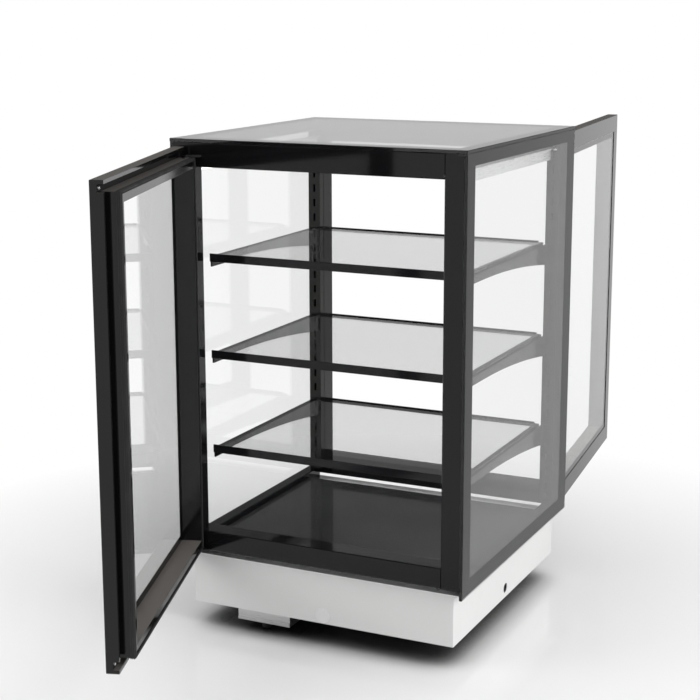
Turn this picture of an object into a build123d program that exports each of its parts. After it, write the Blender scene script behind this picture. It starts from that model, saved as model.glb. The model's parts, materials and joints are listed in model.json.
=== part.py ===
from build123d import *
import os
from math import cos, radians, sin

# Drop-in heated display case with a front door and a rear door.
# The origin is the middle of the footprint, in the plane where the case sits on its counter.
# X points right, Y to the back and Z up. All sizes are in millimetres.

# Cabinet envelope
cabinet_width = 600
cabinet_depth = 600
cabinet_height = 820
side_glass_thickness = 6
top_glass_thickness = 6

# Corner posts and rails
post_width = 37
post_depth = 42
post_chamfer = 1.5
top_rail_height = 46
bottom_rail_height = 40
bottom_rail_rise = 15
rail_wall = 3
side_rail_width = 24
side_top_rail_height = 24
side_bottom_rail_height = 29

# Base below the counter
seat_overhang = 17
housing_end_inset = 17
housing_height = 100
housing_wall = 2
housing_edge_round = 1.5
deck_thickness = 2
deck_recess = 0.5
deck_recess_clearance = 0.5
cable_hole_diameter = 20
cable_hole_depth_below_counter = 81
cable_hole_y = -3
plug_diameter = 30
plug_head = 3
plug_head_thickness = 1.6
plug_clearance = 0.2
plug_x = 7
plug_depth_below_counter = 84

# Control box under the base
box_width = 115
box_depth = 160
box_height = 29
box_wall = 1.5
box_x = -132.5
box_front_inset = 21
cover_thickness = 1.5
cover_lip = 4
cover_lip_height = 6

# Cable gland in the control box
gland_x = -136
gland_inset = 18
gland_bore = 8.5
gland_thread_diameter = 16
gland_flange_diameter = 22
gland_flange_thickness = 3
gland_cap_diameter = 20
gland_cap_tip_diameter = 13
gland_cap_height = 13
gland_nut_width = 20
gland_nut_height = 4
gland_clearance = 0.3
gland_nut_clearance = 0.15
gland_thread_spare = 1
gland_rib_count = 12
gland_rib_gap = 1.2
gland_rib_depth = 1
nut_chamfer = 0.6

# Heated deck
hot_deck_height = 18
hot_deck_thickness = 3
hot_deck_wall = 2
hot_deck_rear_gap = 34
hot_deck_side_gap = 0.3
hot_deck_corner_radius = 3
hot_deck_edge_round = 1
strip_clearance = 0.3
mat_margin = 20
mat_thickness = 2.5
mat_corner_radius = 10

# Slotted uprights
upright_width = 27
upright_depth = 18
upright_wall = 2
upright_inset = 0.5
slot_width = 5
slot_height = 16
slot_pitch = 32
first_slot_rise = 31

# Shelves
shelf_count = 3
shelf_spacing_slots = 6
lowest_shelf_slot = 4
shelf_side_gap = 30
shelf_front_setback = 35.5
arm_plate = 3
arm_front_height = 16
arm_rear_height = 44
arm_straight = 90
arm_flange_width = 14
arm_flange_thickness = 2
arm_tab_width = 22
hook_width = 4
hook_height = 10
hook_nose_drop = 6
hook_nose_thickness = 3
hook_play = 0.4
shelf_bar_plate = 3
shelf_front_lip = 10
shelf_rear_lip = 8
shelf_bar_drop = 6
shelf_ledge_width = 16
shelf_ledge_thickness = 2
shelf_rear_setback = 19
shelf_glass_thickness = 6
glass_play = 0.3
glass_edge = 0.8
bar_round = 1

# Light bars
light_width = 22
light_height = 22
light_top_gap = 11
light_inset = 21
light_wall = 1.6
light_chamfer = 8
light_bracket_length = 25
light_bracket_drop = 4
diffuser_thickness = 1.5
diffuser_inset = 0.5

# Doors
door_bottom = 3
door_top_margin = 14.5
door_flange_depth = 23
door_inner_depth = 21
door_side_margin = 10
door_rebate = 20
door_inner_width = 18
door_gap = 4
lip_width = 6.5
grip_depth = 10.5
door_round = 1.5
door_glass_thickness = 4
door_glass_setback = 1
door_glass_seat = 6
door_glass_play = 0.15
hinge_flange_overhang = 18
hinge_inner_overhang = 13
hinge_chamfer = 3
gasket_width = 4
gasket_base = 0.7
gasket_height = 1.9
gasket_rib = 1.1
gasket_hinge_inset = 5
edge_strip_depth = 7.4
edge_strip_base = 0.5
edge_strip_height = 1.4
edge_strip_rib = 1.2
edge_strip_rib_count = 3

# Door pivots
pivot_edge = 16
pivot_ahead = 19
front_open_angle = 71.03
rear_open_angle = 84.15
pin_diameter = 6
pin_reach = 8.5
bush_bore_clearance = 0.05
bush_diameter = 10
bush_flange_diameter = 14
bush_flange_thickness = 1.5
bush_depth = 10
bush_seat_clearance = 0.05
bush_end_clearance = 0.3
bracket_nose_radius = 5.5
bracket_length = 30
bracket_shoulder = 6
bracket_thickness = 4
thrust_gap = 0.3

# Derived places
half_width = cabinet_width / 2
half_depth = cabinet_depth / 2
glass_inner_x = half_width - side_glass_thickness
post_inner_x = glass_inner_x - post_width
post_inner_y = half_depth - post_depth
frame_top = cabinet_height - top_glass_thickness
bottom_rail_z = deck_thickness + bottom_rail_rise
side_rail_inner_x = glass_inner_x - side_rail_width
side_rail_top_z = deck_thickness + side_bottom_rail_height
side_top_rail_z = frame_top - side_top_rail_height
housing_width = 2 * (glass_inner_x - seat_overhang)
housing_depth = cabinet_depth - 2 * housing_end_inset
half_housing_width = housing_width / 2
half_housing_depth = housing_depth / 2
housing_bottom = -housing_height
box_front_y = box_front_inset - half_housing_depth
gland_y = box_front_y + gland_inset
box_bottom = housing_bottom - box_height
cover_bottom = box_bottom - cover_thickness
upright_front_y = post_inner_y - upright_depth
upright_inner_x = post_inner_x + upright_inset
slot_x = upright_inner_x + upright_width / 2
first_slot_z = side_rail_top_z + first_slot_rise
slot_count = int((side_top_rail_z - first_slot_z - slot_height) / slot_pitch) + 1
shelf_half_width = glass_inner_x - shelf_side_gap
shelf_front_y = shelf_front_setback - post_inner_y
door_depth = door_flange_depth + door_inner_depth
door_face = door_depth + door_gap
door_top = cabinet_height - door_top_margin
door_reach = half_width - door_side_margin
pivot_x = door_reach - door_rebate - pivot_edge
pivot_y = half_depth + pivot_ahead

os.makedirs("parts", exist_ok=True)


def save(builder, name):
    """Label a finished piece and write it as its own file."""
    builder.part.label = name
    export_step(builder.part, f"parts/{name}.step")


def save_group(solids, name):
    """Write solids that meet face to face as one piece."""
    group = Compound(solids)
    group.label = name
    export_step(group, f"parts/{name}.step")


def rectangle_on(x_low, y_low, x_high, y_high, mode=Mode.ADD):
    """Draw a rectangle from its corners in the sketch that is open."""
    centre = ((x_low + x_high) / 2, (y_low + y_high) / 2)
    with Locations(centre):
        Rectangle(x_high - x_low, y_high - y_low, mode=mode)


# Base housing: side panels with a cable hole at the right, end panels with a knockout in front.
cable_place = (cable_hole_y, -cable_hole_depth_below_counter)
plug_place = (plug_x, -plug_depth_below_counter)
housing_inner_x = half_housing_width - housing_wall
housing_inner_y = half_housing_depth - housing_wall

with BuildPart() as base_side_panels:
    with BuildSketch(Plane.XY.offset(housing_bottom)):
        for side in (-1, 1):
            with Locations((side * (half_housing_width + housing_inner_x) / 2, 0)):
                Rectangle(housing_wall, housing_depth)
    extrude(amount=housing_height + deck_recess)
    upright_edges = base_side_panels.edges().filter_by(Axis.Z).group_by(Axis.X)
    fillet(upright_edges[0] + upright_edges[-1], radius=housing_edge_round)
    with BuildSketch(Plane.YZ.offset(half_housing_width)):
        with Locations(cable_place):
            Circle(cable_hole_diameter / 2)
    extrude(amount=-housing_wall, mode=Mode.SUBTRACT)
save(base_side_panels, "base_side_panels")

with BuildPart() as base_end_panels:
    with BuildSketch(Plane.XY.offset(housing_bottom)):
        for end in (-1, 1):
            with Locations((0, end * (half_housing_depth + housing_inner_y) / 2)):
                Rectangle(2 * housing_inner_x, housing_wall)
    extrude(amount=housing_height + deck_recess)
    with BuildSketch(Plane.XZ.offset(half_housing_depth)):
        with Locations(plug_place):
            Circle(plug_diameter / 2 - plug_head)
    extrude(amount=-housing_wall, mode=Mode.SUBTRACT)
save(base_end_panels, "base_end_panels")

# Bottom panel between them, with a hole for the wires to the control box.
with BuildPart() as base_bottom_panel:
    with BuildSketch(Plane.XY.offset(housing_bottom)):
        Rectangle(2 * housing_inner_x, 2 * housing_inner_y)
        with Locations((gland_x, box_front_y + box_depth / 2)):
            Circle(cable_hole_diameter / 2, mode=Mode.SUBTRACT)
    extrude(amount=housing_wall)
save(base_bottom_panel, "base_bottom_panel")

# Blanking plug: a cap that snaps in the knockout.
with BuildPart() as knockout_plug:
    with BuildSketch(Plane.XZ.offset(half_housing_depth)):
        with Locations(plug_place):
            Circle(plug_diameter / 2)
    extrude(amount=plug_head_thickness)
    chamfer(knockout_plug.edges().sort_by(Axis.Y)[0], length=plug_head_thickness / 2)
    with BuildSketch(Plane.XZ.offset(half_housing_depth)):
        with Locations(plug_place):
            Circle(plug_diameter / 2 - plug_head - plug_clearance)
            Circle(plug_diameter / 2 - plug_head - plug_clearance - housing_wall, mode=Mode.SUBTRACT)
    extrude(amount=-2 * housing_wall)
save(knockout_plug, "knockout_plug")

# Deck plate: its two side strips are the seat on the counter, and it is pressed up over the tub.
with BuildPart() as base_deck:
    with BuildSketch(Plane.XY):
        Rectangle(2 * glass_inner_x, housing_depth)
    extrude(amount=deck_thickness)
    with BuildSketch(Plane.XY):
        Rectangle(housing_width + 2 * deck_recess_clearance, housing_depth)
    extrude(amount=deck_recess, mode=Mode.SUBTRACT)
save(base_deck, "base_deck")

# Control box: a folded channel under the base with a flat cover that has a turned-up lip.
box_inner_width = box_width - 2 * box_wall

with BuildPart() as control_box:
    with BuildSketch(Plane.XY.offset(housing_bottom)):
        rectangle_on(box_x - box_width / 2, box_front_y, box_x + box_width / 2, box_front_y + box_depth)
    extrude(amount=-box_height)
    offset(amount=-box_wall, openings=control_box.faces().sort_by(Axis.Z)[0])
    with BuildSketch(Plane.XY.offset(housing_bottom)):
        with Locations((gland_x, box_front_y + box_depth / 2)):
            Circle(cable_hole_diameter / 2)
    extrude(amount=-box_wall, mode=Mode.SUBTRACT)
save(control_box, "control_box")

with BuildPart() as control_box_cover:
    with BuildSketch(Plane.XY.offset(box_bottom)):
        rectangle_on(
            box_x - box_width / 2, box_front_y - cover_thickness,
            box_x + box_width / 2, box_front_y + box_depth,
        )
        with Locations((gland_x, gland_y)):
            Circle(gland_thread_diameter / 2 + gland_clearance, mode=Mode.SUBTRACT)
    extrude(amount=-cover_thickness)
    with BuildSketch(Plane.XY.offset(cover_bottom)):
        rectangle_on(
            box_x - box_width / 2, box_front_y - cover_thickness,
            box_x + box_width / 2, box_front_y,
        )
    extrude(amount=cover_lip_height + cover_thickness)
    lip_corners = control_box_cover.edges().filter_by(Axis.Y).group_by(Axis.Z)[-1]
    fillet(lip_corners, radius=cover_lip)
save(control_box_cover, "control_box_cover")

# Cable gland: flange, thread and a ribbed cap round one bore, drawn from the cover downwards.
gland_thread_top = box_bottom + gland_nut_height + gland_clearance + gland_thread_spare
flange_top = cover_bottom
flange_bottom = flange_top - gland_flange_thickness
gland_tip = flange_bottom - gland_cap_height

with BuildPart() as cable_gland:
    with BuildSketch(Plane(origin=(gland_x, gland_y, 0), x_dir=(1, 0, 0), z_dir=(0, -1, 0))):
        Polygon([
            (gland_bore / 2, gland_thread_top),
            (gland_thread_diameter / 2, gland_thread_top),
            (gland_thread_diameter / 2, flange_top),
            (gland_flange_diameter / 2, flange_top),
            (gland_flange_diameter / 2, flange_bottom),
            (gland_cap_diameter / 2, flange_bottom),
            (gland_cap_diameter / 2, gland_tip + gland_cap_height / 3),
            (gland_cap_tip_diameter / 2, gland_tip),
            (gland_bore / 2, gland_tip),
        ])
    revolve(axis=Axis((gland_x, gland_y, 0), (0, 0, 1)))
    with BuildSketch(Plane.XY.offset(flange_bottom)):
        with Locations((gland_x, gland_y)):
            with PolarLocations(gland_cap_diameter / 2, gland_rib_count):
                Rectangle(2 * gland_rib_depth, gland_rib_gap)
    extrude(amount=-gland_cap_height / 2, mode=Mode.SUBTRACT)
save(cable_gland, "cable_gland")

with BuildPart() as gland_nut:
    with BuildSketch(Plane.XY.offset(box_bottom)):
        with Locations((gland_x, gland_y)):
            RegularPolygon(gland_nut_width / 2, 6, major_radius=False)
            Circle(gland_thread_diameter / 2 + gland_nut_clearance, mode=Mode.SUBTRACT)
    extrude(amount=gland_nut_height)
    chamfer(gland_nut.edges().filter_by(Axis.Z, reverse=True).filter_by(GeomType.LINE), length=nut_chamfer)
save(gland_nut, "gland_nut")

# Heated deck: a plate on a frame of four strips, behind the front rail.
hot_deck_half_width = side_rail_inner_x - hot_deck_side_gap
hot_deck_front = -post_inner_y + hot_deck_side_gap
hot_deck_rear = upright_front_y - hot_deck_rear_gap
hot_deck_top = deck_thickness + hot_deck_height
hot_deck_underside = hot_deck_top - hot_deck_thickness

with BuildPart() as heated_deck:
    with BuildSketch(Plane.XY.offset(hot_deck_underside)):
        rectangle_on(-hot_deck_half_width, hot_deck_front, hot_deck_half_width, hot_deck_rear)
    extrude(amount=hot_deck_thickness)
    fillet(heated_deck.edges().filter_by(Axis.Z), radius=hot_deck_corner_radius)
    fillet(heated_deck.faces().sort_by(Axis.Z)[-1].edges(), radius=hot_deck_edge_round)
save(heated_deck, "heated_deck")

with BuildPart() as heated_deck_frame:
    with BuildSketch(Plane.XY.offset(deck_thickness)):
        strip_outer_x = hot_deck_half_width - hot_deck_corner_radius
        strip_inner_x = strip_outer_x - hot_deck_wall
        strip_front = hot_deck_front + hot_deck_corner_radius
        strip_rear = hot_deck_rear - hot_deck_corner_radius
        rectangle_on(-strip_outer_x, strip_front, -strip_inner_x, strip_rear)
        rectangle_on(strip_inner_x, strip_front, strip_outer_x, strip_rear)
        end_half_width = strip_inner_x - strip_clearance
        rectangle_on(-end_half_width, strip_front, end_half_width, strip_front + hot_deck_wall)
        rectangle_on(-end_half_width, strip_rear - hot_deck_wall, end_half_width, strip_rear)
    extrude(amount=hot_deck_underside - deck_thickness)
save(heated_deck_frame, "heated_deck_frame")

# Heating mat: a thin sheet element fixed under the heated deck.
mat_half_width = strip_inner_x - mat_margin
mat_front = strip_front + mat_margin
mat_rear = strip_rear - mat_margin

with BuildPart() as heating_mat:
    with BuildSketch(Plane.XY.offset(hot_deck_underside)):
        rectangle_on(-mat_half_width, mat_front, mat_half_width, mat_rear)
    extrude(amount=-mat_thickness)
    fillet(heating_mat.edges().filter_by(Axis.Z), radius=mat_corner_radius)
save(heating_mat, "heating_mat")

# Corner posts: square tubes with one chamfered corner, held clear of the deck by the side rails.
for end_name, end in (("front", -1), ("rear", 1)):
    for side_name, side in (("left", -1), ("right", 1)):
        with BuildPart() as corner_post:
            with BuildSketch(Plane.XY.offset(bottom_rail_z)):
                Polygon([
                    (side * post_inner_x, end * (half_depth - post_chamfer)),
                    (side * (post_inner_x + post_chamfer), end * half_depth),
                    (side * glass_inner_x, end * half_depth),
                    (side * glass_inner_x, end * post_inner_y),
                    (side * post_inner_x, end * post_inner_y),
                ])
                hollow_x = side * (post_inner_x + glass_inner_x) / 2
                hollow_y = end * (half_depth + post_inner_y) / 2
                with Locations((hollow_x, hollow_y)):
                    Rectangle(post_width - 2 * rail_wall, post_depth - 2 * rail_wall, mode=Mode.SUBTRACT)
            extrude(amount=frame_top - bottom_rail_z)
        save(corner_post, f"{end_name}_post_{side_name}")

# Top and bottom rails between the posts: tubes with both outer corners chamfered.
rail_levels = (
    ("bottom_rail", bottom_rail_z, bottom_rail_z + bottom_rail_height),
    ("top_rail", frame_top - top_rail_height, frame_top),
)
for end_name, end in (("front", -1), ("rear", 1)):
    for level_name, rail_low, rail_high in rail_levels:
        with BuildPart() as cross_rail:
            with BuildSketch(Plane.YZ.offset(-post_inner_x)):
                Polygon([
                    (end * half_depth, rail_low + post_chamfer),
                    (end * half_depth, rail_high - post_chamfer),
                    (end * (half_depth - post_chamfer), rail_high),
                    (end * post_inner_y, rail_high),
                    (end * post_inner_y, rail_low),
                    (end * (half_depth - post_chamfer), rail_low),
                ])
                hollow_low, hollow_high = sorted((
                    end * (post_inner_y + rail_wall),
                    end * (half_depth - rail_wall),
                ))
                rectangle_on(
                    hollow_low, rail_low + rail_wall, hollow_high, rail_high - rail_wall,
                    mode=Mode.SUBTRACT,
                )
            extrude(amount=2 * post_inner_x)
        save(cross_rail, f"{end_name}_{level_name}")

# Side rails along the panes, low and high.
side_levels = (
    ("side_bottom_rails", deck_thickness, side_rail_top_z),
    ("side_top_rails", side_top_rail_z, frame_top),
)
for level_name, rail_low, rail_high in side_levels:
    with BuildPart() as side_rails:
        for side in (-1, 1):
            with BuildSketch(Plane.XZ.offset(-post_inner_y)):
                Polygon([
                    (side * side_rail_inner_x, rail_low + post_chamfer),
                    (side * (side_rail_inner_x + post_chamfer), rail_low),
                    (side * glass_inner_x, rail_low),
                    (side * glass_inner_x, rail_high),
                    (side * (side_rail_inner_x + post_chamfer), rail_high),
                    (side * side_rail_inner_x, rail_high - post_chamfer),
                ])
                hollow_x = side * (side_rail_inner_x + glass_inner_x) / 2
                with Locations((hollow_x, (rail_low + rail_high) / 2)):
                    Rectangle(
                        side_rail_width - 2 * rail_wall, rail_high - rail_low - 2 * rail_wall,
                        mode=Mode.SUBTRACT,
                    )
            extrude(amount=2 * post_inner_y)
    save(side_rails, level_name)

# Side panes and top pane.
for side_name, side in (("left", -1), ("right", 1)):
    with BuildPart() as side_glass:
        with BuildSketch(Plane.YZ.offset(side * glass_inner_x)):
            rectangle_on(-half_depth, 0, half_depth, frame_top)
        extrude(amount=side * side_glass_thickness)
        chamfer(side_glass.faces().sort_by(Axis.X)[0 if side < 0 else -1].edges(), length=glass_edge)
    save(side_glass, f"side_glass_{side_name}")

with BuildPart() as top_glass:
    with BuildSketch(Plane.XY.offset(frame_top)):
        Rectangle(cabinet_width, cabinet_depth)
    extrude(amount=top_glass_thickness)
    chamfer(top_glass.faces().sort_by(Axis.Z)[-1].edges(), length=glass_edge)
save(top_glass, "top_glass")

# Slotted uprights: channels in front of the rear posts, with a row of hook slots.
for side_name, side in (("left", -1), ("right", 1)):
    x_inner = side * upright_inner_x
    x_outer = side * (upright_inner_x + upright_width)
    with BuildPart() as upright:
        with BuildSketch(Plane.XY.offset(side_rail_top_z)):
            Polygon([
                (x_inner, upright_front_y),
                (x_outer, upright_front_y),
                (x_outer, post_inner_y),
                (x_outer - side * upright_wall, post_inner_y),
                (x_outer - side * upright_wall, upright_front_y + upright_wall),
                (x_inner + side * upright_wall, upright_front_y + upright_wall),
                (x_inner + side * upright_wall, post_inner_y),
                (x_inner, post_inner_y),
            ])
        extrude(amount=side_top_rail_z - side_rail_top_z)
        with BuildSketch(Plane.XZ.offset(-upright_front_y)):
            for slot in range(slot_count):
                with Locations((side * slot_x, first_slot_z + slot_pitch * slot)):
                    Rectangle(slot_width, slot_height)
        extrude(amount=-upright_wall, mode=Mode.SUBTRACT)
    save(upright, f"upright_{side_name}")

# Shelves. Each has a pair of arched arms with hooks, a front bar, a rear rail and a pane.
tab_inner_x = slot_x - arm_tab_width / 2
arm_rear_y = upright_front_y
arm_front_y = shelf_front_y + shelf_bar_plate
shelf_rear_y = upright_front_y - shelf_rear_setback
flange_inner_x = shelf_half_width - arm_flange_width
hook_back_y = upright_front_y + upright_wall + hook_play

for shelf in range(shelf_count):
    slot_z = first_slot_z + slot_pitch * (lowest_shelf_slot + shelf_spacing_slots * shelf)
    arm_top = slot_z + slot_height / 2
    prefix = f"shelf_{shelf + 1}"

    with BuildPart() as arms:
        for side in (-1, 1):
            # Arched web: level top, straight nose, and a round sweep down to the deep rear end.
            with BuildSketch(Plane.YZ.offset(side * (shelf_half_width - arm_plate))):
                with BuildLine():
                    nose_low = arm_top - arm_front_height
                    nose_end = arm_front_y + arm_straight
                    arch = TangentArc(
                        (nose_end, nose_low),
                        (arm_rear_y - arm_plate, arm_top - arm_rear_height),
                        tangent=(1, 0),
                    )
                    Polyline(
                        (nose_end, nose_low),
                        (arm_front_y, nose_low),
                        (arm_front_y, arm_top),
                        (arm_rear_y, arm_top),
                        (arm_rear_y, arm_top - arm_rear_height),
                        arch @ 1,
                    )
                make_face()
            extrude(amount=side * arm_plate)
            # Top flange that carries the pane.
            with BuildSketch(Plane.XY.offset(arm_top)):
                rectangle_on(
                    side * flange_inner_x if side > 0 else -shelf_half_width, arm_front_y,
                    shelf_half_width if side > 0 else side * flange_inner_x, shelf_rear_y,
                )
            extrude(amount=-arm_flange_thickness)
            # Rear tab flat against the upright.
            with BuildSketch(Plane.XZ.offset(-arm_rear_y)):
                tab_low_x = tab_inner_x if side > 0 else -tab_inner_x - arm_tab_width
                rectangle_on(tab_low_x, arm_top - arm_rear_height, tab_low_x + arm_tab_width, arm_top)
            extrude(amount=arm_plate)
            # Two hooks through the slots, each with a nose that drops behind the wall.
            for hook in range(2):
                hook_low = slot_z - slot_pitch * hook - slot_height / 2 + hook_play
                with BuildSketch(Plane.YZ.offset(side * slot_x - hook_width / 2)):
                    Polygon([
                        (arm_rear_y, hook_low),
                        (hook_back_y, hook_low),
                        (hook_back_y, hook_low - hook_nose_drop),
                        (hook_back_y + hook_nose_thickness, hook_low - hook_nose_drop),
                        (hook_back_y + hook_nose_thickness, hook_low + hook_height - hook_play),
                        (arm_rear_y, hook_low + hook_height),
                    ])
                extrude(amount=hook_width)
    save(arms, f"{prefix}_arms")

    with BuildPart() as front_bar:
        with BuildSketch(Plane.YZ.offset(-flange_inner_x)):
            Polygon([
                (arm_front_y, arm_top - shelf_ledge_thickness),
                (arm_front_y + shelf_ledge_width, arm_top - shelf_ledge_thickness),
                (arm_front_y + shelf_ledge_width, arm_top),
                (arm_front_y, arm_top),
            ])
        extrude(amount=2 * flange_inner_x)
        with BuildSketch(Plane.YZ.offset(-shelf_half_width)):
            rectangle_on(
                shelf_front_y, arm_top - shelf_bar_drop, arm_front_y, arm_top + shelf_front_lip,
            )
        extrude(amount=2 * shelf_half_width)
        fillet(front_bar.faces().sort_by(Axis.Y)[0].edges().filter_by(Axis.X), radius=bar_round)
    save(front_bar, f"{prefix}_front_bar")

    with BuildPart() as rear_rail:
        with BuildSketch(Plane.YZ.offset(-flange_inner_x)):
            Polygon([
                (shelf_rear_y, arm_top - shelf_bar_drop),
                (shelf_rear_y, arm_top + shelf_rear_lip),
                (shelf_rear_y - shelf_bar_plate, arm_top + shelf_rear_lip),
                (shelf_rear_y - shelf_bar_plate, arm_top),
                (shelf_rear_y - shelf_bar_plate - shelf_ledge_width, arm_top),
                (shelf_rear_y - shelf_bar_plate - shelf_ledge_width, arm_top - shelf_ledge_thickness),
                (shelf_rear_y - shelf_bar_plate, arm_top - shelf_ledge_thickness),
                (shelf_rear_y - shelf_bar_plate, arm_top - shelf_bar_drop),
            ])
        extrude(amount=2 * flange_inner_x)
    save(rear_rail, f"{prefix}_rear_rail")

    with BuildPart() as shelf_glass:
        with BuildSketch(Plane.XY.offset(arm_top)):
            rectangle_on(
                -shelf_half_width + arm_plate, arm_front_y + glass_play,
                shelf_half_width - arm_plate, shelf_rear_y - shelf_bar_plate - glass_play,
            )
        extrude(amount=shelf_glass_thickness)
        chamfer(shelf_glass.faces().sort_by(Axis.Z)[-1].edges(), length=glass_edge)
    save(shelf_glass, f"{prefix}_glass")

# Light bars: a channel with one canted corner for the diffuser, and an end bracket on the upright.
light_outer_x = glass_inner_x - light_inset
light_inner_x = light_outer_x - light_width
light_top = side_top_rail_z - light_top_gap
light_low = light_top - light_height
light_rear_y = upright_front_y - light_bracket_length
diffuser_shift = diffuser_thickness / sin(radians(45))

for side_name, side in (("left", -1), ("right", 1)):
    with BuildPart() as light_bar:
        with BuildSketch(Plane.XZ.offset(post_inner_y)):
            Polygon([
                (side * light_outer_x, light_low),
                (side * light_outer_x, light_top),
                (side * light_inner_x, light_top),
                (side * light_inner_x, light_low + light_chamfer),
                (side * (light_inner_x + light_wall), light_low + light_chamfer),
                (side * (light_inner_x + light_wall), light_top - light_wall),
                (side * (light_outer_x - light_wall), light_top - light_wall),
                (side * (light_outer_x - light_wall), light_low + light_wall),
                (side * (light_inner_x + light_chamfer), light_low + light_wall),
                (side * (light_inner_x + light_chamfer), light_low),
            ])
        extrude(amount=-(light_rear_y + post_inner_y))
        with BuildSketch(Plane.XZ.offset(-light_rear_y)):
            rectangle_on(
                min(side * light_inner_x, side * light_outer_x), light_low + light_bracket_drop,
                max(side * light_inner_x, side * light_outer_x), light_top,
            )
        extrude(amount=-light_wall)
        with BuildSketch(Plane.XY.offset(light_top)):
            rectangle_on(
                min(side * upright_inner_x, side * light_outer_x), light_rear_y,
                max(side * upright_inner_x, side * light_outer_x), upright_front_y,
            )
        extrude(amount=-light_wall)
    save(light_bar, f"light_bar_{side_name}")

with BuildPart() as light_diffusers:
    for side in (-1, 1):
        with BuildSketch(Plane.XZ.offset(post_inner_y)):
            Polygon([
                (side * (light_inner_x + diffuser_inset), light_low + light_chamfer),
                (side * (light_inner_x + light_chamfer), light_low + diffuser_inset),
                (side * (light_inner_x + light_chamfer), light_low + diffuser_inset + diffuser_shift),
                (side * (light_inner_x + diffuser_inset + diffuser_shift), light_low + light_chamfer),
            ])
        extrude(amount=-(light_rear_y + post_inner_y))
save(light_diffusers, "light_diffusers")

# Doors. Every door piece is drawn on a plane that turns with its door about the pivot.
# On that plane X runs from the pivot along the door and Y from the outer face to the cabinet.
outer_y = -(door_face - pivot_ahead)
inner_face_y = outer_y + door_flange_depth
seal_face_y = outer_y + door_depth
groove_y = inner_face_y - grip_depth
latch_edge = pivot_x + door_reach
latch_inner_edge = latch_edge - door_rebate
latch_reveal = latch_inner_edge - door_inner_width
hinge_reveal = pivot_x - (door_reach - door_rebate - door_inner_width)
opening_bottom = door_bottom + door_rebate + door_inner_width
opening_top = door_top - door_rebate - door_inner_width
glass_slot_low = outer_y + door_glass_setback
glass_slot_high = glass_slot_low + door_glass_thickness + 2 * door_glass_play


class DoorSpace:
    """Planes and axes that turn with one door. The end is -1 for the front and 1 for the rear."""

    def __init__(self, end, opening):
        swing = radians(opening)
        self.pivot = Vector(end * pivot_x, end * pivot_y, 0)
        self.along = Vector(cos(swing), -sin(swing), 0) * -end
        self.inward = Vector(sin(swing), cos(swing), 0) * -end

    def plan(self, height):
        return Plane(origin=self.pivot + Vector(0, 0, height), x_dir=self.along, z_dir=(0, 0, 1))

    def section(self, distance):
        return Plane(origin=self.pivot + self.along * distance, x_dir=self.inward, z_dir=self.along)

    def facing(self, depth):
        return Plane(origin=self.pivot + self.inward * depth, x_dir=self.along, z_dir=-self.inward)

    def along_axis(self):
        return Axis(self.pivot, self.along)

    def inward_axis(self):
        return Axis(self.pivot, self.inward)


def make_door_rail(space, name, top):
    """A full-width rail whose grip groove runs out at both ends, with the seat for a pivot bush."""
    edge = door_top if top else door_bottom
    step = -1 if top else 1
    rebate_z = edge + step * door_rebate
    reveal_z = rebate_z + step * door_inner_width
    lip_z = edge + step * lip_width
    low, high = sorted((rebate_z, reveal_z))
    with BuildPart() as rail:
        with BuildSketch(space.section(-hinge_flange_overhang)):
            Polygon([
                (outer_y, edge),
                (outer_y, reveal_z),
                (seal_face_y, reveal_z),
                (seal_face_y, rebate_z),
                (groove_y, rebate_z),
                (groove_y, lip_z),
                (inner_face_y, lip_z),
                (inner_face_y, edge),
            ])
        extrude(amount=latch_edge + hinge_flange_overhang)
        # The inner frame stops short of both ends, and the stile's groove runs into this one.
        with BuildSketch(space.plan(low)):
            Polygon([
                (latch_inner_edge, seal_face_y),
                (latch_edge, seal_face_y),
                (latch_edge, inner_face_y),
                (latch_edge - lip_width, inner_face_y),
                (latch_edge - lip_width, groove_y),
                (latch_inner_edge, groove_y),
            ])
            Polygon([
                (-hinge_flange_overhang, inner_face_y),
                (-hinge_inner_overhang, inner_face_y),
                (-hinge_inner_overhang, seal_face_y - hinge_chamfer),
                (-hinge_inner_overhang + hinge_chamfer, seal_face_y),
                (-hinge_flange_overhang, seal_face_y),
            ])
        extrude(amount=high - low, mode=Mode.SUBTRACT)
        # Slot for the pane
        with BuildSketch(space.facing(glass_slot_low)):
            slot_z = sorted((reveal_z, reveal_z - step * door_glass_seat))
            rectangle_on(
                hinge_reveal - door_glass_seat, slot_z[0], latch_reveal + door_glass_seat, slot_z[1],
            )
        extrude(amount=glass_slot_low - glass_slot_high, mode=Mode.SUBTRACT)
        # Blind seat for the pivot bush
        with BuildSketch(space.plan(rebate_z)):
            Circle(bush_diameter / 2 + bush_seat_clearance)
        extrude(amount=step * bush_depth, mode=Mode.SUBTRACT)
        outer_edges = rail.faces().sort_by(space.inward_axis())[0].edges().sort_by(Axis.Z)
        fillet(outer_edges[1:] if top else outer_edges[:-1], radius=door_round)
    save(rail, name)


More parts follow.
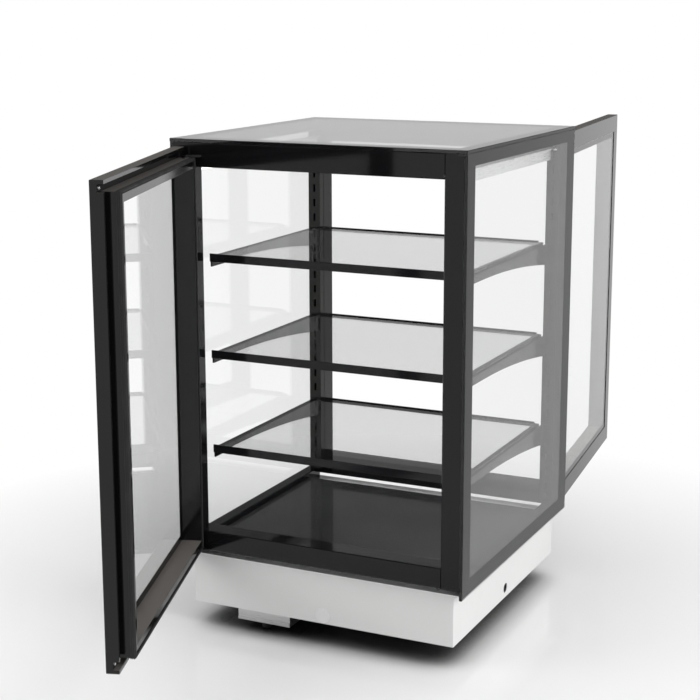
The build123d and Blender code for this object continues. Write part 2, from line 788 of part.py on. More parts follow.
def make_door(end_name, end, opening):
    """One door: two stiles, two rails, pane, gasket and pivot bushes."""
    space = DoorSpace(end, opening)
    make_door_rail(space, f"{end_name}_door_top_rail", True)
    make_door_rail(space, f"{end_name}_door_bottom_rail", False)

    # Latch stile: flange, inner bar and grip lip, joined along their lengths round the groove.
    latch_outlines = (
        [
            (latch_edge, outer_y),
            (latch_reveal, outer_y),
            (latch_reveal, glass_slot_low),
            (latch_reveal + door_glass_seat, glass_slot_low),
            (latch_reveal + door_glass_seat, glass_slot_high),
            (latch_reveal, glass_slot_high),
            (latch_reveal, groove_y),
            (latch_edge, groove_y),
        ],
        [
            (latch_reveal, groove_y),
            (latch_inner_edge, groove_y),
            (latch_inner_edge, seal_face_y),
            (latch_reveal, seal_face_y),
        ],
        [
            (latch_edge - lip_width, groove_y),
            (latch_edge, groove_y),
            (latch_edge, inner_face_y),
            (latch_edge - lip_width, inner_face_y),
        ],
    )
    latch_profiles = []
    for outline in latch_outlines:
        with BuildPart() as latch_profile:
            with BuildSketch(space.plan(opening_bottom)):
                Polygon(outline)
            extrude(amount=opening_top - opening_bottom)
            if not latch_profiles:
                outer_face = latch_profile.faces().sort_by(space.inward_axis())[0]
                fillet(outer_face.edges().sort_by(space.along_axis())[-1], radius=door_round)
        latch_profiles.append(latch_profile.part.solid())
    save_group(latch_profiles, f"{end_name}_door_latch_stile")

    with BuildPart() as hinge_stile:
        with BuildSketch(space.plan(opening_bottom)):
            Polygon([
                (-hinge_flange_overhang, outer_y),
                (hinge_reveal, outer_y),
                (hinge_reveal, glass_slot_low),
                (hinge_reveal - door_glass_seat, glass_slot_low),
                (hinge_reveal - door_glass_seat, glass_slot_high),
                (hinge_reveal, glass_slot_high),
                (hinge_reveal, seal_face_y),
                (-hinge_inner_overhang + hinge_chamfer, seal_face_y),
                (-hinge_inner_overhang, seal_face_y - hinge_chamfer),
                (-hinge_inner_overhang, inner_face_y),
                (-hinge_flange_overhang, inner_face_y),
            ])
        extrude(amount=opening_top - opening_bottom)
        outer_face = hinge_stile.faces().sort_by(space.inward_axis())[0]
        fillet(outer_face.edges().sort_by(space.along_axis())[0], radius=door_round)
    save(hinge_stile, f"{end_name}_door_hinge_stile")

    seat = door_glass_seat - glass_play
    with BuildPart() as door_glass:
        with BuildSketch(space.facing(glass_slot_low + door_glass_play)):
            rectangle_on(
                hinge_reveal - seat, opening_bottom - seat, latch_reveal + seat, opening_top + seat,
            )
        extrude(amount=-door_glass_thickness)
    save(door_glass, f"{end_name}_door_glass")

    # Gasket: a base strip with two raised ribs round the outer edge of the inner frame.
    ring_low_x = gasket_hinge_inset - hinge_inner_overhang
    ring_low_z = door_bottom + door_rebate
    ring_high_z = door_top - door_rebate
    with BuildPart() as gasket:
        rings = (
            (-edge_strip_base, gasket_width, gasket_base),
            (0, gasket_rib, gasket_height),
            (gasket_width - gasket_rib, gasket_width, gasket_height),
        )
        for near, far, height in rings:
            hinge_near = max(near, 0)
            with BuildSketch(space.facing(seal_face_y)):
                rectangle_on(
                    ring_low_x + hinge_near, ring_low_z + near, latch_inner_edge - near, ring_high_z - near,
                )
                rectangle_on(
                    ring_low_x + far, ring_low_z + far, latch_inner_edge - far, ring_high_z - far,
                    mode=Mode.SUBTRACT,
                )
            extrude(amount=-height)
        # It folds over the edge as a thin strip with ribs along the top, the latch side and the bottom.
        rib_pitch = (edge_strip_depth - edge_strip_rib) / (edge_strip_rib_count - 1)
        strips = [(0, edge_strip_depth, edge_strip_base)]
        for rib in range(edge_strip_rib_count):
            strips.append((rib * rib_pitch, edge_strip_rib, edge_strip_height))
        for behind, thickness, height in strips:
            with BuildSketch(space.facing(seal_face_y - behind)):
                rectangle_on(
                    ring_low_x, ring_low_z - height, latch_inner_edge + height, ring_high_z + height,
                )
                rectangle_on(
                    ring_low_x, ring_low_z, latch_inner_edge, ring_high_z, mode=Mode.SUBTRACT,
                )
            extrude(amount=thickness)
    save(gasket, f"{end_name}_door_gasket")

    with BuildPart() as bushes:
        for rebate_z, step in ((door_top - door_rebate, -1), (door_bottom + door_rebate, 1)):
            with BuildSketch(space.plan(rebate_z)):
                Circle(bush_flange_diameter / 2)
            extrude(amount=-step * bush_flange_thickness)
            with BuildSketch(space.plan(rebate_z)):
                Circle(bush_diameter / 2)
            extrude(amount=step * (bush_depth - bush_end_clearance))
            with BuildSketch(space.plan(rebate_z - step * bush_flange_thickness)):
                Circle(pin_diameter / 2 + bush_bore_clearance)
            extrude(amount=step * (bush_depth + bush_flange_thickness), mode=Mode.SUBTRACT)
    save(bushes, f"{end_name}_door_bushes")


make_door("front", -1, front_open_angle)
make_door("rear", 1, rear_open_angle)

# Pivot brackets on the rails: a rounded nose with a pin, and a shoulder along the rail.
for end_name, end in (("front", -1), ("rear", 1)):
    with BuildPart() as pivot_brackets:
        for rebate_z, step in ((door_top - door_rebate, -1), (door_bottom + door_rebate, 1)):
            bracket_face = rebate_z - step * (bush_flange_thickness + thrust_gap)
            origin = Vector(end * pivot_x, end * pivot_y, bracket_face)
            with BuildSketch(Plane(origin=origin, x_dir=(-end, 0, 0), z_dir=(0, 0, 1))):
                with BuildLine():
                    nose = ThreePointArc(
                        (-bracket_nose_radius, 0),
                        (0, -bracket_nose_radius),
                        (bracket_nose_radius, 0),
                    )
                    Polyline(
                        nose @ 1,
                        (bracket_length - bracket_nose_radius, pivot_ahead - bracket_shoulder),
                        (bracket_length - bracket_nose_radius, pivot_ahead),
                        (-bracket_nose_radius, pivot_ahead),
                        nose @ 0,
                    )
                make_face()
            extrude(amount=-step * bracket_thickness)
            with BuildSketch(Plane(origin=origin, x_dir=(1, 0, 0), z_dir=(0, 0, 1))):
                Circle(pin_diameter / 2)
            extrude(amount=step * (bush_flange_thickness + thrust_gap + pin_reach))
    save(pivot_brackets, f"{end_name}_pivot_brackets")
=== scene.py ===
import json
from math import cos, pi, radians, sin, tau

import bmesh
import bpy
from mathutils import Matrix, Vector


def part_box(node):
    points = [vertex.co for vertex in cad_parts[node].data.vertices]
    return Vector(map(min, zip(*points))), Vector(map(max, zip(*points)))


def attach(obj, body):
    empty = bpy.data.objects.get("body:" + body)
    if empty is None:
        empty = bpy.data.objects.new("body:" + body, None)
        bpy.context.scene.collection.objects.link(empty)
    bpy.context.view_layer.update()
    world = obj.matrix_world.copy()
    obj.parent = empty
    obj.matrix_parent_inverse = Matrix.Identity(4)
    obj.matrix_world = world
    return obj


# Drop-in heated display case: finish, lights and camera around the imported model.
# Everything is in metres. X points right, Y to the back and Z up, as in the frame.

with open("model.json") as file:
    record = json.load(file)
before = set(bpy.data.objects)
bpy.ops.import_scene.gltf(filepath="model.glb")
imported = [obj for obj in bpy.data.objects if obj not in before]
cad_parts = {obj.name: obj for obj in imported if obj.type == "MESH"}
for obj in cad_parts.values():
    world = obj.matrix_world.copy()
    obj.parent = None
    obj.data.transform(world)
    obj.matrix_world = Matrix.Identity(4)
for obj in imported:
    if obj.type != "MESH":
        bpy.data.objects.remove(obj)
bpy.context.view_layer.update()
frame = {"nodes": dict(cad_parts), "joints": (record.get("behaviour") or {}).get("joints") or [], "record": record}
nodes = frame["nodes"]
door_bodies = ("front_door", "rear_door")

# Camera, fitted to the corners of the case in the photograph
camera_place = Vector((1.2842, -2.8171, 1.0711))
camera_yaw = 0.4401
camera_pitch = -0.2036
camera_focal_length = 80.71
camera_sensor = 36
camera_shift = (-0.0171, -0.0355)
camera_clip_end = 50

# Light levels
ambient_level = 0.76
bar_glow = 1.6
lamp_target = Vector((0, 0, 0.3))
key_place = Vector((3.4, -0.5, 2.3))
key_size = 2.4
key_power = 118
fill_place = Vector((-2.6, -2.4, 1.9))
fill_size = 2.2
fill_power = 41

# What glass and gloss see of the studio: levels, and the parts of the direction over which they change
gloss_side_level = 0.6
gloss_side_ramp = (0.05, 0.4)
gloss_top_level = 0.68
gloss_top_ramp = (0.0, 0.06)
gloss_overhead_share = 0.25
gloss_overhead_ramp = (0.09, 0.3)

# Floor: a shadow painted dark into its colour under the case, and the distances over which it fades to white
floor_reach = 14
floor_drop = 0.0005
floor_grey = (0.76, 0.76, 0.76)
floor_roughness = 0.06
floor_ior = 1.3
painted_shadow_grey = (0.01, 0.01, 0.01)
painted_shadow_distance = 0.09
painted_shadow_ramp = (0.35, 0.8)
floor_fade = (0.42, 1.25)

# Dust, and a brown-grey sheen painted into the colour, on faces that look up
painted_sheen_colour = (0.18, 0.163, 0.149)
dust_and_sheen_ramp = (0.6, 0.9)

# Cabinet sizes that the small pieces follow, from the frame
top_glass_low, top_glass_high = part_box("top_glass")
post_low, post_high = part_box("front_post_right")
side_opening_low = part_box("side_bottom_rails")[1].z
side_opening_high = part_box("side_top_rails")[0].z
rail_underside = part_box("front_bottom_rail")[0].z
upright_low, upright_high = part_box("upright_right")
half_width = top_glass_high.x
half_depth = top_glass_high.y
frame_top = top_glass_low.z
cabinet_top = top_glass_high.z
side_pane_inner_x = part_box("side_glass_right")[0].x
post_inner_x = post_low.x
post_inner_y = -post_high.y
upright_face_y = upright_low.y
upright_middle_x = (upright_low.x + upright_high.x) / 2

# Door sizes, measured from the pivot along the door and towards the cabinet
door_reveals = (0.002, 0.506)
door_pane_outer_face = -0.02785
groove_floor = -0.0165

# Bonding bands and printed borders
band_inset = 0.0009
band_skin = 0.00005
band_thickness = 0.00035
top_band_overlap = 0.013
print_width = 0.012
print_overlap = 0.005

# Screws
groove_screw_radius = 0.0034
groove_screw_along = 0.533
groove_screw_heights = (0.0162, 0.7923)
upright_screw_radius = 0.0036
upright_screw_heights = (0.0425, 0.782)
light_screw_radius = 0.0036
light_screw_place = (0.2785, 0.2275, 0.7774)
cover_screw_radius = 0.003
cover_screw_margin = 0.009

# Plug in the face of the top rail's joint, and buffer under the bottom rail: (radius, height, sides) rings
plug_x = 0.2565
plug_z = 0.7742
plug_profile = ((0.0026, -0.0004, 0), (0.0026, 0.0003, 0), (0.0020, 0.0007, 0), (0.0008, 0.0004, 0))
buffer_x = 0.2505
buffer_inset = 0.006
buffer_profile = ((0.0042, -0.0003, 0), (0.0042, 0.0020, 0), (0.0034, 0.0030, 0), (0.0012, 0.0032, 0))
trim_steps = 20

# Slot cover near the top of the post: a flat ring
slot_cover_x = 0.2888
slot_cover_z = 0.8115
slot_cover_half = (0.0062, 0.0014)
slot_cover_hole_half = (0.0050, 0.0004)
slot_cover_levels = (-0.0002, 0.0004)


def make_camera():
    """The photograph's camera."""
    data = bpy.data.cameras.new("camera")
    data.sensor_fit = "HORIZONTAL"
    data.sensor_width = camera_sensor
    data.lens = camera_focal_length
    data.shift_x, data.shift_y = camera_shift
    data.clip_end = camera_clip_end
    camera = bpy.data.objects.new("camera", data)
    camera.location = camera_place
    camera.rotation_euler = (pi / 2 + camera_pitch, 0, camera_yaw)
    bpy.context.scene.collection.objects.link(camera)
    bpy.context.scene.camera = camera


def link(tree, source, target):
    """Join two sockets."""
    tree.links.new(source, target)


def add_node(tree, kind, **settings):
    """Add a shader node and set its properties."""
    node = tree.nodes.new(kind)
    for name, value in settings.items():
        setattr(node, name, value)
    return node


def math_node(tree, operation, first, second=None, third=None, clamp=False):
    """Add a Math node. Each operand is a socket or a number."""
    node = add_node(tree, "ShaderNodeMath", operation=operation, use_clamp=clamp)
    for index, value in enumerate((first, second, third)):
        if value is None:
            continue
        if isinstance(value, (int, float)):
            node.inputs[index].default_value = value
        else:
            link(tree, value, node.inputs[index])
    return node.outputs[0]


def average(tree, first, second):
    """The mean of two values."""
    share = 0.5
    return math_node(tree, "MULTIPLY_ADD", first, share, math_node(tree, "MULTIPLY", second, share))


def spread(tree, value, low, high, ramp=(0.3, 0.7)):
    """Map the values along a ramp to the range from low to high."""
    node = add_node(tree, "ShaderNodeMapRange")
    node.inputs["From Min"].default_value = ramp[0]
    node.inputs["From Max"].default_value = ramp[1]
    node.inputs["To Min"].default_value = low
    node.inputs["To Max"].default_value = high
    link(tree, value, node.inputs["Value"])
    return node.outputs["Result"]


def studio_levels(tree, direction):
    """The levels of the studio for glass and for gloss: darker overhead, and for gloss at the right too."""
    flat = add_node(tree, "ShaderNodeVectorMath", operation="MULTIPLY")
    flat.inputs[1].default_value = (1, 1, 0)
    link(tree, direction, flat.inputs[0])
    level_way = add_node(tree, "ShaderNodeVectorMath", operation="NORMALIZE")
    link(tree, flat.outputs["Vector"], level_way.inputs[0])
    sideways = add_node(tree, "ShaderNodeSeparateXYZ")
    link(tree, level_way.outputs["Vector"], sideways.inputs["Vector"])
    upward_way = add_node(tree, "ShaderNodeSeparateXYZ")
    link(tree, direction, upward_way.inputs["Vector"])
    side = spread(tree, sideways.outputs["X"], 1, gloss_side_level, gloss_side_ramp)
    top = spread(tree, upward_way.outputs["Z"], 1, gloss_top_level, gloss_top_ramp)
    overhead = spread(tree, upward_way.outputs["Z"], 1, gloss_overhead_share, gloss_overhead_ramp)
    upper = math_node(tree, "MULTIPLY", top, overhead)
    return upper, math_node(tree, "MULTIPLY", side, upper)


def studio_rays(tree, direction):
    """The level that camera, glass and gloss rays see, and a mask that is one for those rays."""
    path = add_node(tree, "ShaderNodeLightPath")
    camera = path.outputs["Is Camera Ray"]
    through = path.outputs["Is Transmission Ray"]
    gloss = math_node(tree, "SUBTRACT", path.outputs["Is Glossy Ray"], through, clamp=True)
    through_level, gloss_level = studio_levels(tree, direction)
    level = math_node(tree, "MULTIPLY_ADD", through, through_level, camera)
    level = math_node(tree, "MULTIPLY_ADD", gloss, gloss_level, level)
    either = math_node(tree, "ADD", math_node(tree, "ADD", camera, through), gloss, clamp=True)
    return level, either


def make_world():
    """White for the camera, a studio for glass and gloss, and a plainer level for diffuse light."""
    world = bpy.data.worlds.new("studio")
    bpy.context.scene.world = world
    world.use_nodes = True
    tree = world.node_tree
    tree.nodes.clear()
    way = add_node(tree, "ShaderNodeTexCoord")
    level, either = studio_rays(tree, way.outputs["Generated"])
    diffuse = math_node(tree, "SUBTRACT", 1, either, clamp=True)
    level = math_node(tree, "MULTIPLY_ADD", diffuse, ambient_level, level)
    background = add_node(tree, "ShaderNodeBackground")
    background.inputs["Color"].default_value = (1, 1, 1, 1)
    link(tree, level, background.inputs["Strength"])
    output = add_node(tree, "ShaderNodeOutputWorld")
    link(tree, background.outputs[0], output.inputs["Surface"])


def make_lamp(name, place, size, power):
    """A square area lamp that looks at the case."""
    data = bpy.data.lights.new(name, "AREA")
    data.shape = "SQUARE"
    data.size = size
    data.energy = power
    lamp = bpy.data.objects.new(name, data)
    lamp.location = place
    lamp.rotation_euler = (lamp_target - place).to_track_quat("-Z", "Y").to_euler()
    bpy.context.scene.collection.objects.link(lamp)


def new_material(name, colour, roughness, metallic=0.0, ior=1.5):
    """A material with its plain values on the shader's own sockets."""
    material = bpy.data.materials.new(name)
    material.use_nodes = True
    shader = material.node_tree.nodes["Principled BSDF"]
    shader.inputs["Base Color"].default_value = (*colour, 1)
    shader.inputs["Roughness"].default_value = roughness
    shader.inputs["Metallic"].default_value = metallic
    shader.inputs["IOR"].default_value = ior
    return material, material.node_tree, shader


def position(tree, stretch=(1, 1, 1)):
    """The place on the object, stretched."""
    source = add_node(tree, "ShaderNodeTexCoord")
    mapping = add_node(tree, "ShaderNodeMapping")
    mapping.inputs["Scale"].default_value = stretch
    link(tree, source.outputs["Object"], mapping.inputs["Vector"])
    return mapping.outputs["Vector"]


def noise(tree, vector, scale, detail):
    """Soft noise."""
    node = add_node(tree, "ShaderNodeTexNoise")
    node.inputs["Scale"].default_value = scale
    node.inputs["Detail"].default_value = detail
    link(tree, vector, node.inputs["Vector"])
    return node.outputs["Fac"]


def vary_colour(tree, shader, value, first, second):
    """Colour from first to second as the value rises."""
    mix = add_node(tree, "ShaderNodeMix", data_type="RGBA")
    mix.inputs["A"].default_value = (*first, 1)
    mix.inputs["B"].default_value = (*second, 1)
    link(tree, value, mix.inputs["Factor"])
    link(tree, mix.outputs["Result"], shader.inputs["Base Color"])


def add_relief(tree, shader, height, strength, depth, edge_radius):
    """Small bumps, on edges that look slightly rounded."""
    relief = add_node(tree, "ShaderNodeBump")
    relief.inputs["Strength"].default_value = strength
    relief.inputs["Distance"].default_value = depth
    link(tree, height, relief.inputs["Height"])
    rounding = add_node(tree, "ShaderNodeBevel", samples=4)
    rounding.inputs["Radius"].default_value = edge_radius
    link(tree, rounding.outputs["Normal"], relief.inputs["Normal"])
    link(tree, relief.outputs["Normal"], shader.inputs["Normal"])


def upward(tree):
    """One on faces that look up, where dust settles and the sheen is painted, and zero elsewhere."""
    source = add_node(tree, "ShaderNodeTexCoord")
    split = add_node(tree, "ShaderNodeSeparateXYZ")
    link(tree, source.outputs["Normal"], split.inputs["Vector"])
    return spread(tree, split.outputs["Z"], 0, 1, dust_and_sheen_ramp)


def paint_upward_sheen(tree, shader, amount):
    """A brown-grey sheen painted over the colour on faces that look up, a painted reflection of warm light."""
    mix = add_node(tree, "ShaderNodeMix", data_type="RGBA")
    bare_colour = shader.inputs["Base Color"].links[0].from_socket
    link(tree, bare_colour, mix.inputs["A"])
    mix.inputs["B"].default_value = (*painted_sheen_colour, 1)
    link(tree, math_node(tree, "MULTIPLY", upward(tree), amount), mix.inputs["Factor"])
    link(tree, mix.outputs["Result"], shader.inputs["Base Color"])


def lacquer(name, colour, roughness, ior=1.37, dust_and_sheen=0.0, contrast=1.35):
    """Glossy lacquer on metal: faint orange peel, haze and wipe marks, and where it is asked for, dust that
    roughens faces that look up and a brown-grey sheen painted over their colour.
    """
    material, tree, shader = new_material(name, colour, roughness, ior=ior)
    place = position(tree)
    haze = noise(tree, place, scale=7, detail=3)
    wipes = noise(tree, position(tree, stretch=(40, 40, 3)), scale=9, detail=2)
    marks = spread(tree, average(tree, wipes, haze), low=roughness * 0.7, high=roughness * 1.5)
    if dust_and_sheen:
        marks = math_node(tree, "MULTIPLY_ADD", upward(tree), dust_and_sheen, marks)
    link(tree, marks, shader.inputs["Roughness"])
    brighter = [min(1, part * contrast) for part in colour]
    vary_colour(tree, shader, spread(tree, haze, low=0, high=1), colour, brighter)
    # Painted sheen: faces that look up are made lighter and browner in colour.
    if dust_and_sheen:
        paint_upward_sheen(tree, shader, dust_and_sheen)
    peel = noise(tree, place, scale=420, detail=1)
    add_relief(tree, shader, peel, strength=0.05, depth=0.0002, edge_radius=0.0005)
    return material


def brushed_steel(name, colour, roughness, stretch=(2, 90, 90), metallic=1.0):
    """Metal with fine lines along one axis."""
    material, tree, shader = new_material(name, colour, roughness, metallic=metallic)
    lines = noise(tree, position(tree, stretch), scale=12, detail=4)
    sheen = spread(tree, lines, low=roughness * 0.75, high=roughness * 1.3)
    link(tree, sheen, shader.inputs["Roughness"])
    vary_colour(tree, shader, lines, [part * 0.9 for part in colour], colour)
    add_relief(tree, shader, lines, strength=0.12, depth=0.0001, edge_radius=0.0003)
    return material


def moulded(name, colour, roughness, grain=900):
    """Moulded plastic or rubber with a fine spark-eroded grain."""
    material, tree, shader = new_material(name, colour, roughness)
    place = position(tree)
    patches = noise(tree, place, scale=30, detail=2)
    sheen = spread(tree, patches, low=roughness * 0.85, high=roughness * 1.15)
    link(tree, sheen, shader.inputs["Roughness"])
    vary_colour(tree, shader, patches, colour, [min(1, part * 1.25) for part in colour])
    bumps = noise(tree, place, scale=grain, detail=2)
    add_relief(tree, shader, bumps, strength=0.2, depth=0.0002, edge_radius=0.0004)
    return material


def clear_glass(name, tint):
    """Float glass with faint smears, and no dark shadow."""
    material, tree, shader = new_material(name, tint, 0.0, ior=1.38)
    shader.inputs["Transmission Weight"].default_value = 1
    smears = noise(tree, position(tree, stretch=(1, 1, 0.4)), scale=11, detail=4)
    sheen = spread(tree, smears, low=0.0, high=0.02, ramp=(0.55, 0.85))
    link(tree, sheen, shader.inputs["Roughness"])
    path = add_node(tree, "ShaderNodeLightPath")
    clear = add_node(tree, "ShaderNodeBsdfTransparent")
    clear.inputs["Color"].default_value = (*tint, 1)
    mix = add_node(tree, "ShaderNodeMixShader")
    link(tree, path.outputs["Is Shadow Ray"], mix.inputs["Fac"])
    link(tree, shader.outputs[0], mix.inputs[1])
    link(tree, clear.outputs[0], mix.inputs[2])
    link(tree, mix.outputs[0], tree.nodes["Material Output"].inputs["Surface"])
    return material


def glowing(name, colour, level):
    """The diffuser over a row of small lights."""
    material, tree, shader = new_material(name, colour, 0.35)
    row = add_node(tree, "ShaderNodeTexWave", wave_type="BANDS", bands_direction="Y")
    row.inputs["Scale"].default_value = 12
    link(tree, position(tree), row.inputs["Vector"])
    shader.inputs["Emission Color"].default_value = (*colour, 1)
    glow = spread(tree, row.outputs["Fac"], low=level * 0.85, high=level, ramp=(0, 1))
    link(tree, glow, shader.inputs["Emission Strength"])
    return material


def make_materials():
    """One material for each slot of the record."""
    made = {
        "housing_paint": lacquer("housing_paint", (0.66, 0.66, 0.655), 0.42, ior=1.4, contrast=1.03),
        "plug_plastic": moulded("plug_plastic", (0.63, 0.63, 0.63), 0.45),
        "deck_steel": brushed_steel("deck_steel", (0.86, 0.86, 0.855), 0.42, metallic=0.35),
        "box_steel": brushed_steel("box_steel", (0.6, 0.6, 0.6), 0.32),
        "black_plastic": moulded("black_plastic", (0.012, 0.012, 0.012), 0.45),
        "hot_deck_black": lacquer("hot_deck_black", (0.026, 0.026, 0.027), 0.08, ior=1.33),
        "mat_silicone": moulded("mat_silicone", (0.28, 0.06, 0.03), 0.6),
        "frame_black": lacquer("frame_black", (0.004, 0.004, 0.0045), 0.07, ior=1.34),
        # The door lacquer gets dust and a painted sheen on faces that look up.
        "door_black": lacquer("door_black", (0.004, 0.004, 0.0045), 0.08, dust_and_sheen=0.5),
        "upright_black": lacquer("upright_black", (0.010, 0.0095, 0.009), 0.12, ior=1.3),
        "shelf_black": lacquer("shelf_black", (0.008, 0.008, 0.009), 0.09, ior=1.3),
        "clear_glass": clear_glass("clear_glass", (0.932, 0.936, 0.934)),
        "light_aluminium": brushed_steel("light_aluminium", (0.86, 0.86, 0.86), 0.3, (90, 2, 90)),
        "diffuser_white": glowing("diffuser_white", (1.0, 0.95, 0.86), bar_glow),
        "gasket_rubber": moulded("gasket_rubber", (0.018, 0.018, 0.018), 0.6, grain=1500),
        "bush_nylon": moulded("bush_nylon", (0.05, 0.05, 0.05), 0.5),
        "bracket_steel": lacquer("bracket_steel", (0.008, 0.008, 0.008), 0.25),
    }
    for entry in frame["record"]["materials"]:
        assert entry["slot"] in made, entry["slot"]
    return made


def paint_nodes(materials):
    """Give each part of the model the finish of its slot."""
    for part in frame["record"]["subparts"]:
        mesh = nodes[part["node"]].data
        mesh.materials.clear()
        mesh.materials.append(materials[part["material_slot"]])


def new_piece(name, builder, slot, body):
    """Turn a finished bmesh into a piece that rides a body and takes the finish of a slot."""
    bmesh.ops.recalc_face_normals(builder, faces=builder.faces)
    mesh = bpy.data.meshes.new(name)
    builder.to_mesh(mesh)
    builder.free()
    piece = bpy.data.objects.new(name, mesh)
    bpy.context.scene.collection.objects.link(piece)
    mesh.materials.append(materials[slot])
    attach(piece, body)


def grown(outline, margin):
    """An outline moved outwards by a margin, or inwards where the margin is negative."""
    u_low, v_low, u_high, v_high = outline
    return u_low - margin, v_low - margin, u_high + margin, v_high + margin


def centred(middle, half):
    """The outline round a middle."""
    return middle[0] - half[0], middle[1] - half[1], middle[0] + half[0], middle[1] + half[1]


def add_ring_prism(builder, outer, inner, low, high, place):
    """A flat rectangular ring. The outlines are (u low, v low, u high, v high)."""
    rings = []
    for outline in (outer, inner):
        u_low, v_low, u_high, v_high = outline
        corners = ((u_low, v_low), (u_high, v_low), (u_high, v_high), (u_low, v_high))
        for level in (low, high):
            rings.append([builder.verts.new(place(u, v, level)) for u, v in corners])
    outer_low, outer_high, inner_low, inner_high = rings
    around = (outer_low, outer_high, inner_high, inner_low)
    for first, second in zip(around, around[1:] + around[:1]):
        for corner in range(4):
            following = (corner + 1) % 4
            builder.faces.new((first[corner], first[following], second[following], second[corner]))


def lathe(builder, centre, axis, profile, steps=24):
    """Turn (radius, height, sides) rings round an axis and close both ends. Sides 0 is round."""
    axis = Vector(axis).normalized()
    across = axis.orthogonal().normalized()
    third = axis.cross(across)
    rings = []
    for radius, height, sides in profile:
        ring = []
        for step in range(steps):
            angle = tau * step / steps
            reach = radius
            if sides:
                half = pi / sides
                reach = radius / cos((angle + half) % (2 * half) - half)
            offset = across * cos(angle) + third * sin(angle)
            ring.append(builder.verts.new(Vector(centre) + offset * reach + axis * height))
        rings.append(ring)
    for lower, upper in zip(rings, rings[1:]):
        for step in range(steps):
            following = (step + 1) % steps
            builder.faces.new((lower[step], lower[following], upper[following], upper[step]))
    builder.faces.new(rings[0])
    builder.faces.new(rings[-1])


def add_screw(builder, centre, axis, radius):
    """A low domed head with a six-sided recess."""
    height = radius * 0.55
    socket = radius * 0.42
    lathe(builder, centre, axis, (
        (radius, -height * 0.3, 0),
        (radius, height * 0.25, 0),
        (radius * 0.93, height * 0.6, 0),
        (radius * 0.72, height * 0.9, 0),
        (radius * 0.55, height, 0),
        (socket, height, 6),
        (socket * 0.95, height * 0.3, 6),
    ))


class DoorSpace:
    """Places on a door: along it from the pivot, towards the cabinet, and up."""

    def __init__(self, joint):
        pivot = Vector(joint["pos_m"])
        end = -1 if pivot.y < 0 else 1
        swing = radians(-joint["range_deg"][0])
        self.ground = Vector((pivot.x, pivot.y, 0))
        self.along = Vector((-end * cos(swing), end * sin(swing), 0))
        self.inward = Vector((-end * sin(swing), -end * cos(swing), 0))

    def place(self, along, inward, height):
        return self.ground + self.along * along + self.inward * inward + Vector((0, 0, height))


def make_bands():
    """Black bonding bands where the panes cover the frame, and a black line round the top pane's edge."""
    for side_name, side in (("left", -1), ("right", 1)):
        builder = bmesh.new()
        inner_x = side_pane_inner_x + band_skin
        add_ring_prism(
            builder,
            (-half_depth + band_inset, band_inset, half_depth - band_inset, frame_top - band_skin),
            (-post_inner_y, side_opening_low, post_inner_y, side_opening_high),
            inner_x, inner_x + band_thickness,
            lambda u, v, level: Vector((side * level, u, v)),
        )
        new_piece(f"bonding_band_{side_name}", builder, "frame_black", "cabinet")
    builder = bmesh.new()
    low = frame_top + band_skin
    outer = grown((-half_width, -half_depth, half_width, half_depth), -band_inset)
    add_ring_prism(
        builder,
        outer,
        centred((0, 0), (post_inner_x + top_band_overlap, post_inner_y)),
        low, low + band_thickness,
        lambda u, v, level: Vector((u, v, level)),
    )
    add_ring_prism(
        builder,
        outer,
        grown(outer, -band_thickness),
        low + band_thickness + band_skin, cabinet_top - band_inset,
        lambda u, v, level: Vector((u, v, level)),
    )
    new_piece("bonding_band_top", builder, "frame_black", "cabinet")


def make_door_prints():
    """Printed borders just inside the outer face of each door pane."""
    for body, space in doors.items():
        builder = bmesh.new()
        stile_low, stile_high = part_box(f"{body}_latch_stile")
        opening = (door_reveals[0], stile_low.z, door_reveals[1], stile_high.z)
        depth = door_pane_outer_face + band_skin
        add_ring_prism(
            builder,
            grown(opening, print_overlap),
            grown(opening, -print_width),
            depth, depth + band_thickness,
            lambda u, v, level: space.place(u, level, v),
        )
        new_piece(f"{body}_print", builder, "door_black", body)


def make_fasteners():
    """Screws in the groove pockets, on the uprights, the light brackets and the control box."""
    for body, space in doors.items():
        builder = bmesh.new()
        for height in groove_screw_heights:
            centre = space.place(groove_screw_along, groove_floor, height)
            add_screw(builder, centre, space.inward, groove_screw_radius)
        new_piece(f"{body}_groove_screws", builder, "light_aluminium", body)
    light_x, light_y, light_z = light_screw_place
    for side_name, side in (("left", -1), ("right", 1)):
        builder = bmesh.new()
        for height in upright_screw_heights:
            centre = (side * upright_middle_x, upright_face_y, height)
            add_screw(builder, centre, (0, -1, 0), upright_screw_radius)
        new_piece(f"upright_screws_{side_name}", builder, "bracket_steel", "cabinet")
        builder = bmesh.new()
        add_screw(builder, (side * light_x, light_y, light_z), (0, 0, -1), light_screw_radius)
        new_piece(f"light_screw_{side_name}", builder, "light_aluminium", "cabinet")
    builder = bmesh.new()
    cover_low, cover_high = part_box("control_box_cover")
    for x in (cover_low.x + cover_screw_margin, cover_high.x - cover_screw_margin):
        for y in (cover_low.y + cover_screw_margin, cover_high.y - cover_screw_margin):
            add_screw(builder, (x, y, cover_low.z), (0, 0, -1), cover_screw_radius)
    new_piece("cover_screws", builder, "box_steel", "cabinet")


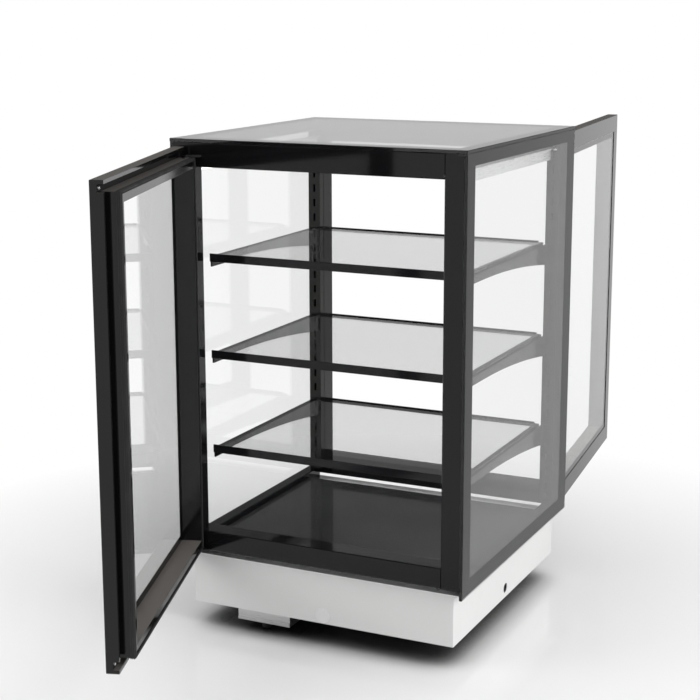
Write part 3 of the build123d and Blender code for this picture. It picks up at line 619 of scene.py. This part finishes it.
def make_small_trim():
    """A plug, a buffer and a slot cover on each door side, at the corner away from the hinge."""
    for end_name, end in (("front", -1), ("rear", 1)):
        builder = bmesh.new()
        side = -end
        face_y = end * half_depth
        lathe(builder, (side * plug_x, face_y, plug_z), (0, end, 0), plug_profile, trim_steps)
        buffer_place = (side * buffer_x, face_y - end * buffer_inset, rail_underside)
        lathe(builder, buffer_place, (0, 0, -1), buffer_profile, trim_steps)
        cover_middle = (side * slot_cover_x, slot_cover_z)
        add_ring_prism(
            builder,
            centred(cover_middle, slot_cover_half),
            centred(cover_middle, slot_cover_hole_half),
            *slot_cover_levels,
            lambda u, v, level: Vector((u, face_y + end * level, v)),
        )
        new_piece(f"{end_name}_rail_plugs", builder, "black_plastic", "cabinet")


def make_floor():
    """A pale polished floor with a shadow painted dark into its colour close under the case, that fades to white
    away from it.
    """
    floor_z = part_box("cable_gland")[0].z - floor_drop
    mesh = bpy.data.meshes.new("floor")
    signs = ((-1, -1), (1, -1), (1, 1), (-1, 1))
    corners = [(x * floor_reach, y * floor_reach, floor_z) for x, y in signs]
    mesh.from_pydata(corners, [], [(0, 1, 2, 3)])
    floor = bpy.data.objects.new("floor", mesh)
    bpy.context.scene.collection.objects.link(floor)
    material, tree, shader = new_material("floor", floor_grey, floor_roughness, ior=floor_ior)
    # Painted shadow: the floor's colour goes dark where the case covers it closely.
    occlusion = add_node(tree, "ShaderNodeAmbientOcclusion", samples=12)
    occlusion.inputs["Distance"].default_value = painted_shadow_distance
    unshaded = spread(tree, occlusion.outputs["AO"], 0, 1, painted_shadow_ramp)
    vary_colour(tree, shader, unshaded, painted_shadow_grey, floor_grey)
    place = position(tree)
    distance = add_node(tree, "ShaderNodeVectorMath", operation="LENGTH")
    link(tree, place, distance.inputs[0])
    far = spread(tree, distance.outputs["Value"], 0, 1, floor_fade)
    strength, either = studio_rays(tree, place)
    glow = add_node(tree, "ShaderNodeEmission")
    link(tree, strength, glow.inputs["Strength"])
    mix = add_node(tree, "ShaderNodeMixShader")
    link(tree, math_node(tree, "MULTIPLY", far, either), mix.inputs["Fac"])
    link(tree, shader.outputs[0], mix.inputs[1])
    link(tree, glow.outputs[0], mix.inputs[2])
    link(tree, mix.outputs[0], tree.nodes["Material Output"].inputs["Surface"])
    mesh.materials.append(material)


bpy.context.scene.view_settings.view_transform = "Standard"
make_camera()
make_world()
make_lamp("key", key_place, key_size, key_power)
make_lamp("fill", fill_place, fill_size, fill_power)
make_floor()
materials = make_materials()
paint_nodes(materials)
doors = {body: DoorSpace(joint) for body, joint in zip(door_bodies, frame["joints"])}
make_bands()
make_door_prints()
make_fasteners()
make_small_trim()
